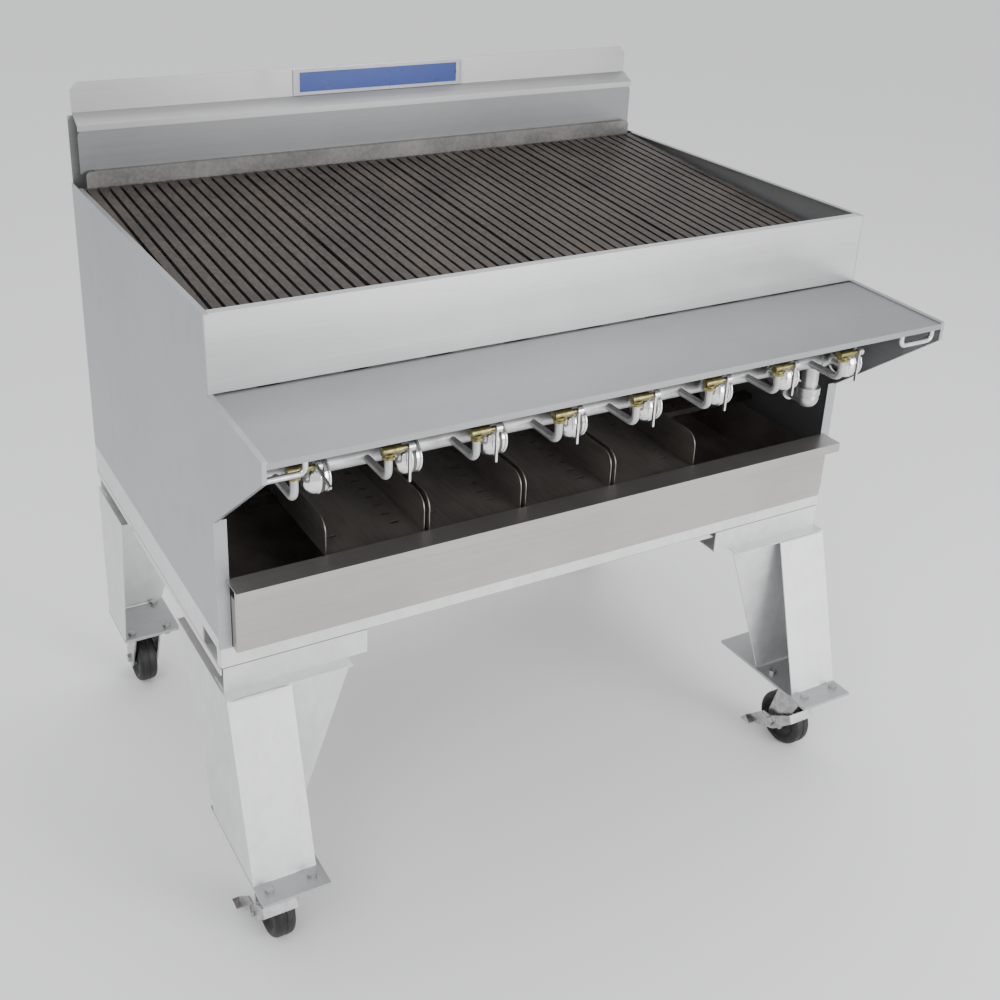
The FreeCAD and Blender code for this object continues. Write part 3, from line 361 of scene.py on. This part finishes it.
def browned_sheet(name, dark, light, rough=0.42):
    finish = Finish(name, Metallic=0.7)
    bloom = finish.noise((7, 5, 9), 5, 0.6)
    spots = finish.cells((60, 45, 60)).step(0.05, 0.3)
    grain = finish.noise((160, 14, 160), 3, 0.5)
    amount = bloom * 0.7 + grain * 0.3
    finish.show(Base_Color=finish.blend(amount.step(0.3, 0.7), dark, light),
                Roughness=bloom * 0.22 + (1 - spots) * 0.12 + (rough - 0.1))
    finish.bump(grain, 0.00008)
    return finish


grate_iron = cast_crust("grate_iron", (0.020, 0.015, 0.012, 1), (0.084, 0.068, 0.056, 1))
burner_iron = cast_crust("burner_iron", (0.05, 0.045, 0.04, 1), (0.16, 0.15, 0.14, 1), 0.5)
pan_sheet = browned_sheet("pan_sheet", (0.17, 0.154, 0.138, 1), (0.31, 0.285, 0.26, 1))
rail_sheet = browned_sheet("rail_sheet", (0.05, 0.044, 0.038, 1), (0.11, 0.10, 0.09, 1))
ledge_sheet = browned_sheet("ledge_sheet", (0.14, 0.135, 0.13, 1), (0.27, 0.262, 0.25, 1))
inner_sheet = browned_sheet("inner_sheet", (0.16, 0.155, 0.15, 1), (0.34, 0.33, 0.315, 1))

# %% [markdown]
# ## Fittings: paint, brass, zinc and polished caps
# The gas pipe is brushed with silver paint that pools unevenly. Valves are turned brass with
# tarnish in the hollows. Bolts, forks and rockers are bright zinc, which blooms in small soft
# clouds. All four are one idea, a clear metal with a cloud of dull, at different sizes.

# %% fitting finishes
def cloudy_metal(name, bright, dull, rough, size=60.0, metal=1.0, depth=0.00006):
    finish = Finish(name, Metallic=metal)
    cloud = finish.noise((size, size, size), 5, 0.6)
    specks = finish.noise((size * 9, size * 9, size * 9), 2, 0.5)
    amount = cloud * 0.75 + specks * 0.25
    finish.show(Base_Color=finish.blend(amount.step(0.36, 0.66), bright, dull),
                Roughness=cloud * 0.22 + specks * 0.08 + (rough - 0.12))
    finish.bump(specks, depth)
    return finish


silver_paint = cloudy_metal("silver_paint", grey(0.62), grey(0.46), 0.42, 40, 0.75, 0.0002)
brass = cloudy_metal("valve_brass", (0.31, 0.27, 0.11, 1), (0.14, 0.125, 0.06, 1), 0.32, 120)
zinc = cloudy_metal("zinc", grey(0.58), grey(0.36, 0.006), 0.25, 70)
polished = cloudy_metal("polished_cap", grey(0.93), grey(0.80), 0.11, 25, 1.0, 0.00001)
lever_metal = cloudy_metal("lever_metal", grey(0.78), grey(0.6), 0.27, 55)
elbow_iron = cloudy_metal("elbow_iron", grey(0.66), grey(0.5), 0.36, 50, 0.9, 0.0003)
print("fitting finishes ready")


def tyre_rubber():
    """Black rubber with a dusty tread: the dust gathers in a broken band, not evenly."""
    finish = Finish("tyre_rubber", IOR=1.5)
    dust = finish.noise((45, 45, 45), 5, 0.65)
    grain = finish.noise((900, 900, 900), 2, 0.5)
    finish.show(Base_Color=finish.blend(dust.step(0.45, 0.75), grey(0.006), grey(0.024, 0.002)),
                Roughness=dust * 0.3 + grain * 0.1 + 0.32)
    return finish.bump(grain, 0.00015)


tyre = tyre_rubber()

# %% [markdown]
# ## The plate on the back
# A printed plate is one sheet with a coloured field inside a bare border. Where the field ends is a
# place on the plate, so the colour follows the position across the part and needs no picture.

# %% plate finish
def plate_finish():
    low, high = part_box("nameplate")
    finish = Finish("plate_enamel", Metallic=0.3)
    across = finish.along("X")
    up = finish.along("Z")
    rim = 0.012
    inside = across.step(low.x + rim, low.x + rim + 0.0006)
    inside = inside * (1 - across.step(high.x - rim - 0.0006, high.x - rim))
    inside = inside * up.step(low.z + 0.0045, low.z + 0.005) * (1 - up.step(high.z - 0.005, high.z - 0.0045))
    cloud = finish.noise((30, 30, 30), 4, 0.6)
    border = finish.blend(cloud, grey(0.42), grey(0.30))
    enamel = finish.blend(cloud, (0.012, 0.032, 0.17, 1), (0.018, 0.045, 0.21, 1))
    finish.show(Base_Color=finish.blend(inside, border, enamel), Roughness=cloud * 0.15 + 0.22)
    return finish.bump(cloud, 0.00005)


plate = plate_finish()

# %% [markdown]
# ## Handing the finishes out
# Each frame part keeps its shape and gets a finish. Folded sheet has a small radius on every edge,
# which a bevel modifier gives; turned parts get smooth shading with their corners kept sharp.

# %% finishes by part
def dress(names, finish, fold=0.0, corner=35):
    for name in names:
        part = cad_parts[name]
        part.data.materials.clear()
        part.data.materials.append(finish.material)
        part.data.shade_smooth()
        part.data.set_sharp_from_angle(angle=math.radians(corner))
        if fold:
            bevel = part.modifiers.new("fold", "BEVEL")
            bevel.width = fold
            bevel.segments = 2
            bevel.angle_limit = math.radians(50)
            bevel.harden_normals = True


CORNERS = ("front_left", "rear_left", "front_right", "rear_right")
LEGS = ["leg_" + word for word in CORNERS]
LEVERS = ["valve_lever_%d" % (i + 1) for i in range(8)]
PANS = ["deflector_pan_%d" % (i + 1) for i in range(4)]
GRATES = ["grate_%d" % (i + 1) for i in range(4)]
dress(["left_side_panel", "right_side_panel"], cabinet_side, 0.0006)
dress(["front_apron"], cabinet_front, 0.0006)
dress(["front_shelf"], shelf_sheet, 0.0006)
dress(["backsplash", "rear_panel"], back_sheet, 0.0006)
dress(["front_rail", "rear_rail", "side_rails", "leg_channels"] + LEGS, frame_steel, 0.0006)
dress(["foot_plates"], foot_steel, 0.0006)
dress(["flue_panel"], flue_sheet, 0.0005)
dress(["rear_ledge"], ledge_sheet, 0.0005)
dress(["cross_rails", "radiants"], inner_sheet, 0.0006)
dress(["pan_rails"], rail_sheet, 0.0006)
dress(["drip_tray"], tray_sheet, 0.0005)
dress(PANS, pan_sheet, 0.0004)
dress(GRATES, grate_iron, 0.0008)
dress(["burners"], burner_iron)
dress(["manifold_pipe", "riser_tubes"], silver_paint)
dress(["inlet_elbow"], elbow_iron)
dress(["valve_bodies"], brass, 0.0003)
dress(LEVERS, lever_metal, 0.0005)
dress(["deck_hooks"], lever_metal)
dress(["nameplate"], plate, 0.0003)
dress(["caster_plates", "caster_bolts", "brake_pedal_left", "brake_pedal_right"], zinc, 0.0004)
dress(["caster_fork_" + word for word in CORNERS] + ["caster_axle_" + word for word in CORNERS], zinc, 0.0004)
dress(["caster_wheel_" + word for word in CORNERS], tyre)
print("dressed", len(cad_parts), "parts")

# %% [markdown]
# ## Turned pieces
# A wheel, a polished cap and a washer are all one outline spun about an axis. The helper below takes
# the outline as pairs of (along the axis, away from it) and spins it about X, then the piece is set
# at its centre and rides on a body.

# %% a spun piece
def spun(name, outline, centre, body, finish, turns=64):
    mesh = bpy.data.meshes.new(name)
    shell = bmesh.new()
    ring = [shell.verts.new((along, away, 0)) for along, away in outline]
    edges = [shell.edges.new(pair) for pair in zip(ring, ring[1:])]
    bmesh.ops.spin(shell, geom=ring + edges, axis=(1, 0, 0), cent=(0, 0, 0), steps=turns, angle=math.tau,
                   use_duplicate=False)
    bmesh.ops.remove_doubles(shell, verts=shell.verts, dist=0.000002)
    bmesh.ops.recalc_face_normals(shell, faces=shell.faces)
    bmesh.ops.translate(shell, verts=shell.verts, vec=centre)
    shell.to_mesh(mesh)
    shell.free()
    mesh.shade_smooth()
    mesh.set_sharp_from_angle(angle=math.radians(38))
    mesh.materials.append(finish.material)
    piece = bpy.data.objects.new(name, mesh)
    bpy.context.scene.collection.objects.link(piece)
    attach(piece, body)
    return piece


def arc(centre, radius, start, stop, steps):
    """Points of a round stretch, as (along, away); angles in degrees from the axis direction."""
    points = []
    for i in range(steps + 1):
        angle = math.radians(start + (stop - start) * i / steps)
        points.append((centre[0] + radius * math.cos(angle), centre[1] + radius * math.sin(angle)))
    return points


# %% [markdown]
# ## Caster wheels
# A phenolic caster wheel is one moulding: a hub with a bearing cup, a dished web and a tread with
# rolled shoulders. The frame's wheel is a plain turned blank of the same size, so a finer moulding
# takes its place and the blank stays for contact.

# %% caster wheels
for word in CORNERS:
    low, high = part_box("caster_wheel_" + word)
    centre = (low + high) / 2
    half = (high.x - low.x) / 2
    big = (high.z - low.z) / 2
    bore = 0.0062
    side = [(half, bore), (half, 0.0115), (half - 0.0012, 0.0125), (half - 0.0012, 0.0165)]
    side += [(half - 0.003, 0.018)]
    side += [(half - 0.0075, 0.0195), (half - 0.0078, 0.031), (half - 0.0062, 0.0345), (half - 0.0022, 0.037)]
    shoulder = arc((half - 0.0095, big - 0.0095), 0.0092, 0, 90, 8)
    groove = [(0.0022, big - 0.0002), (0.0016, big - 0.0012), (0, big - 0.0014)]
    right = side + shoulder + groove
    left = [(-along, away) for along, away in reversed(right[:-1])]
    wheel = spun("wheel_" + word + "_moulding", right + left + [right[0]], centre, "wheel_" + word, tyre,
                 96)
    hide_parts("caster_wheel_" + word)
    for sign in (-1, 1):
        cup = [(sign * (half - 0.0004), 0.0066), (sign * (half + 0.0004), 0.0072),
               (sign * (half + 0.0004), 0.0098),
               (sign * (half - 0.0006), 0.0108), (sign * (half - 0.0012), 0.0066)]
        end = "right" if sign > 0 else "left"
        spun("cup_%s_%s" % (word, end), cup + [cup[0]], centre, "wheel_" + word, zinc, 48)
print("wheels moulded")

# %% [markdown]
# ## Polished caps on the mixers
# Each burner's mixer ends in a bright domed cap beside the valve. It is a spun deep dome with a
# rolled edge, seated on the drum's face, and a dished plate closes the other end.

# %% mixer caps
drum_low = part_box("burners")[0]
PITCH_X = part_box("valve_lever_3")[0].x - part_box("valve_lever_2")[0].x
DRUM_ROUND = 0.025
DRUM_HALF = 0.016
DOME = 0.017
DRUM_CENTRE = Vector((drum_low.x + DRUM_HALF, FRONT - 0.070, drum_low.z + DRUM_ROUND))


def cap_outline():
    """A deep dome that follows the drum's rounded end, then a rolled bead."""
    skin = 0.0007
    dome = arc((DOME - DRUM_HALF, DRUM_ROUND - DOME), DOME + skin, 180, 90, 14)
    bead = arc((DOME - DRUM_HALF + 0.0022, DRUM_ROUND + 0.0002), 0.0018, 150, 0, 8)
    return [(-DRUM_HALF - skin, 0.0)] + dome + bead


def back_outline():
    """A flat end plate with a shallow dish and the same rolled bead."""
    dish = [(0.0006, 0.0), (0.0006, 0.014), (0.0022, 0.0165), (0.0022, 0.0215)]
    return dish + arc((0.0008, DRUM_ROUND - 0.0012), 0.0022, 50, 150, 6) + [(-0.006, DRUM_ROUND + 0.0004)]


for i in range(8):
    centre = DRUM_CENTRE + Vector((i * PITCH_X, 0, 0))
    spun("mixer_cap_%d" % (i + 1), cap_outline(), centre, "cabinet", polished, 64)
    spun("mixer_back_%d" % (i + 1), back_outline(), centre + Vector((DRUM_HALF, 0, 0)), "cabinet", polished,
         48)
print("caps spun; station pitch", round(PITCH_X, 5))

# %% [markdown]
# ## Welds
# The legs are welded to their foot plates and the rails to the channels. A weld is a row of
# overlapping puddles, so its bead is a half-round strip whose size swells and shrinks a few times
# per centimetre, with a little unevenness seeded so that it comes out the same each time.

# %% weld beads
def weld(name, start, finish_point, size=0.0028, body="cabinet"):
    start, end = Vector(start), Vector(finish_point)
    run = end - start
    across = run.cross(Vector((0, 0, 1))).normalized()
    above = across.cross(run).normalized()
    chance = random.Random(name)
    steps = max(8, int(run.length / 0.0016))
    bead = bmesh.new()
    rings = []
    for i in range(steps + 1):
        puddle = 0.82 + 0.18 * abs(math.sin(i * 0.9)) + chance.uniform(-0.05, 0.05)
        taper = min(1, 3 * min(i, steps - i) / steps + 0.25)
        middle = start + run * (i / steps)
        ring = []
        for j in range(8):
            angle = math.tau * j / 8
            ring.append(bead.verts.new(middle + (across * math.cos(angle) + above * math.sin(angle))
                                       * size * puddle * taper))
        rings.append(ring)
    for before, after in zip(rings, rings[1:]):
        for j in range(8):
            bead.faces.new((before[j], before[(j + 1) % 8], after[(j + 1) % 8], after[j]))
    bead.faces.new(rings[0])
    bead.faces.new(rings[-1])
    bmesh.ops.recalc_face_normals(bead, faces=bead.faces)
    mesh = bpy.data.meshes.new(name)
    bead.to_mesh(mesh)
    bead.free()
    mesh.shade_smooth()
    mesh.materials.append(frame_steel.material)
    piece = bpy.data.objects.new(name, mesh)
    bpy.context.scene.collection.objects.link(piece)
    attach(piece, body)


for word in CORNERS:
    low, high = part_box("leg_" + word)
    side = -1 if "left" in word else 1
    outer = side * (HALF - 0.0045)
    inner = side * (HALF - 0.096)
    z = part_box("foot_plates")[1].z + 0.0006
    if "front" in word:
        near = low.y + 0.003
        weld("weld_toe_" + word, (outer, near - 0.0012, z), (inner, near - 0.0012, z))
        weld("weld_web_" + word, (outer, FRONT - 0.0135, z), (inner, FRONT - 0.0135, z))
        crown = high.z - 0.0026
        shin = FRONT - 0.0236
        weld("weld_crown_" + word, (outer, shin, crown), (inner, shin, crown), 0.0022)
    else:
        weld("weld_web_" + word, (outer, high.y - 0.0035, z), (inner, high.y - 0.0035, z))
print("welds laid")

# %% [markdown]
# ## The finished box
# The box of the finished model is measured and printed. The finished model has to stay
# inside the frame's own box.

# %% boxes and finish
low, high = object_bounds()
print("finished box", tuple(round(a, 4) for a in low), tuple(round(a, 4) for a in high))
